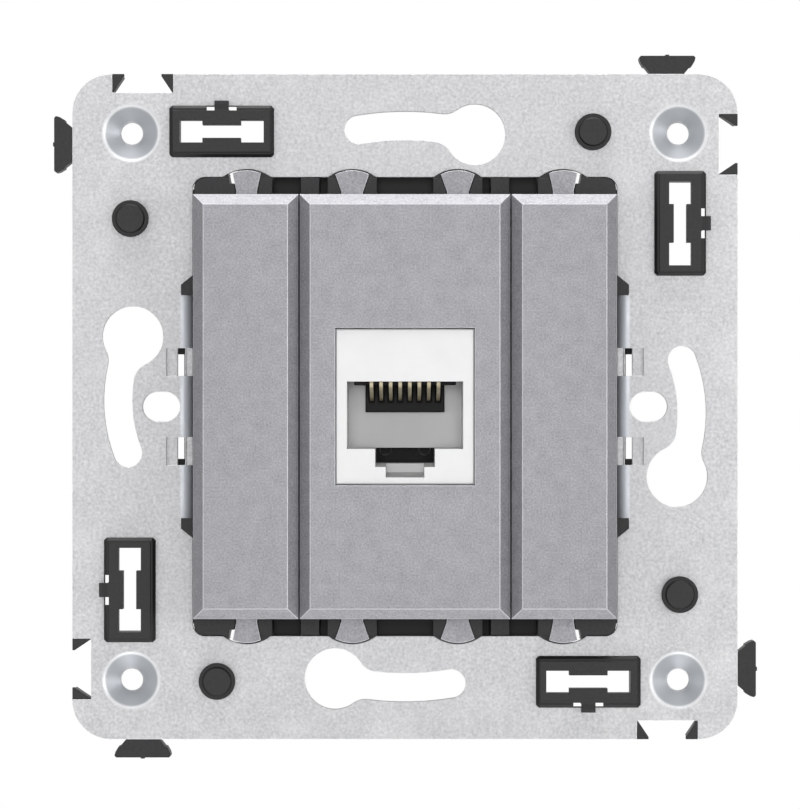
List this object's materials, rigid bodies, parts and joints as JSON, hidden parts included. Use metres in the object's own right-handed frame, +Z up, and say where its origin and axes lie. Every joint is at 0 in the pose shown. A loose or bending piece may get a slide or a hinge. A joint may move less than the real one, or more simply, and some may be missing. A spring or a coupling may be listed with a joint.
{
  "type": "ethernet socket",
  "caption": "Flush wall insert with a white network jack between two blank covers on a square steel support plate with keyhole slots.",
  "frame": {"origin": "centre of the fixing pattern on the rear face of the support plate", "axes": "+Z up, +Y into the wall, the socket faces -Y"},
  "size_m": [0.0752, 0.0297, 0.0752],
  "materials": {
    "galvanised_steel": "satin",
    "black_plastic": "satin",
    "grey_painted_plastic": "satin",
    "white_plastic": "satin",
    "black_jack_plastic": "satin",
    "gold_contact": "polished",
    "green_board": "satin",
    "tinned_bronze": "polished"
  },
  "bodies": {
    "socket": {"support_frame": "galvanised_steel", "corner_coupler_1": "black_plastic", "corner_coupler_2": "black_plastic", "corner_coupler_3": "black_plastic", "corner_coupler_4": "black_plastic", "frame_catch_1": "black_plastic", "frame_catch_2": "black_plastic", "frame_catch_3": "black_plastic", "frame_catch_4": "black_plastic", "blank_carrier_left": "black_plastic", "blank_carrier_right": "black_plastic", "module_body": "black_plastic", "blank_cover_left": "grey_painted_plastic", "blank_cover_right": "grey_painted_plastic", "module_cover": "grey_painted_plastic", "jack_housing": "white_plastic", "contact_carrier": "black_jack_plastic", "contact_leads": "gold_contact", "jack_board": "green_board", "terminal_block": "black_jack_plastic", "terminal_blade_1": "tinned_bronze", "terminal_blade_2": "tinned_bronze", "terminal_blade_3": "tinned_bronze", "terminal_blade_4": "tinned_bronze", "terminal_blade_5": "tinned_bronze", "terminal_blade_6": "tinned_bronze", "terminal_blade_7": "tinned_bronze", "terminal_blade_8": "tinned_bronze"},
    "contact_1": {"contact_spring_1": "gold_contact"},
    "contact_2": {"contact_spring_2": "gold_contact"},
    "contact_3": {"contact_spring_3": "gold_contact"},
    "contact_4": {"contact_spring_4": "gold_contact"},
    "contact_5": {"contact_spring_5": "gold_contact"},
    "contact_6": {"contact_spring_6": "gold_contact"},
    "contact_7": {"contact_spring_7": "gold_contact"},
    "contact_8": {"contact_spring_8": "gold_contact"},
    "cap_left": {"wire_cap_left": "white_plastic"},
    "cap_right": {"wire_cap_right": "white_plastic"}
  },
  "joints": [
    {"name": "contact_bend_1", "type": "hinge", "parent": "socket", "child": "contact_1", "pos_m": [-0.00356, -0.0045, 0.00247], "axis": [1, 0, 0], "range_deg": [0, 8], "stiffness_Nm_per_rad": 0.02},
    {"name": "contact_bend_2", "type": "hinge", "parent": "socket", "child": "contact_2", "pos_m": [-0.00254, -0.0045, 0.00247], "axis": [1, 0, 0], "range_deg": [0, 8], "stiffness_Nm_per_rad": 0.02},
    {"name": "contact_bend_3", "type": "hinge", "parent": "socket", "child": "contact_3", "pos_m": [-0.00152, -0.0045, 0.00247], "axis": [1, 0, 0], "range_deg": [0, 8], "stiffness_Nm_per_rad": 0.02},
    {"name": "contact_bend_4", "type": "hinge", "parent": "socket", "child": "contact_4", "pos_m": [-0.00051, -0.0045, 0.00247], "axis": [1, 0, 0], "range_deg": [0, 8], "stiffness_Nm_per_rad": 0.02},
    {"name": "contact_bend_5", "type": "hinge", "parent": "socket", "child": "contact_5", "pos_m": [0.00051, -0.0045, 0.00247], "axis": [1, 0, 0], "range_deg": [0, 8], "stiffness_Nm_per_rad": 0.02},
    {"name": "contact_bend_6", "type": "hinge", "parent": "socket", "child": "contact_6", "pos_m": [0.00152, -0.0045, 0.00247], "axis": [1, 0, 0], "range_deg": [0, 8], "stiffness_Nm_per_rad": 0.02},
    {"name": "contact_bend_7", "type": "hinge", "parent": "socket", "child": "contact_7", "pos_m": [0.00254, -0.0045, 0.00247], "axis": [1, 0, 0], "range_deg": [0, 8], "stiffness_Nm_per_rad": 0.02},
    {"name": "contact_bend_8", "type": "hinge", "parent": "socket", "child": "contact_8", "pos_m": [0.00356, -0.0045, 0.00247], "axis": [1, 0, 0], "range_deg": [0, 8], "stiffness_Nm_per_rad": 0.02},
    {"name": "cap_pull_left", "type": "slide", "parent": "socket", "child": "cap_left", "axis": [0, 1, 0], "range_m": [0, 0.007]},
    {"name": "cap_pull_right", "type": "slide", "parent": "socket", "child": "cap_right", "axis": [0, 1, 0], "range_m": [0, 0.007]}
  ]
}
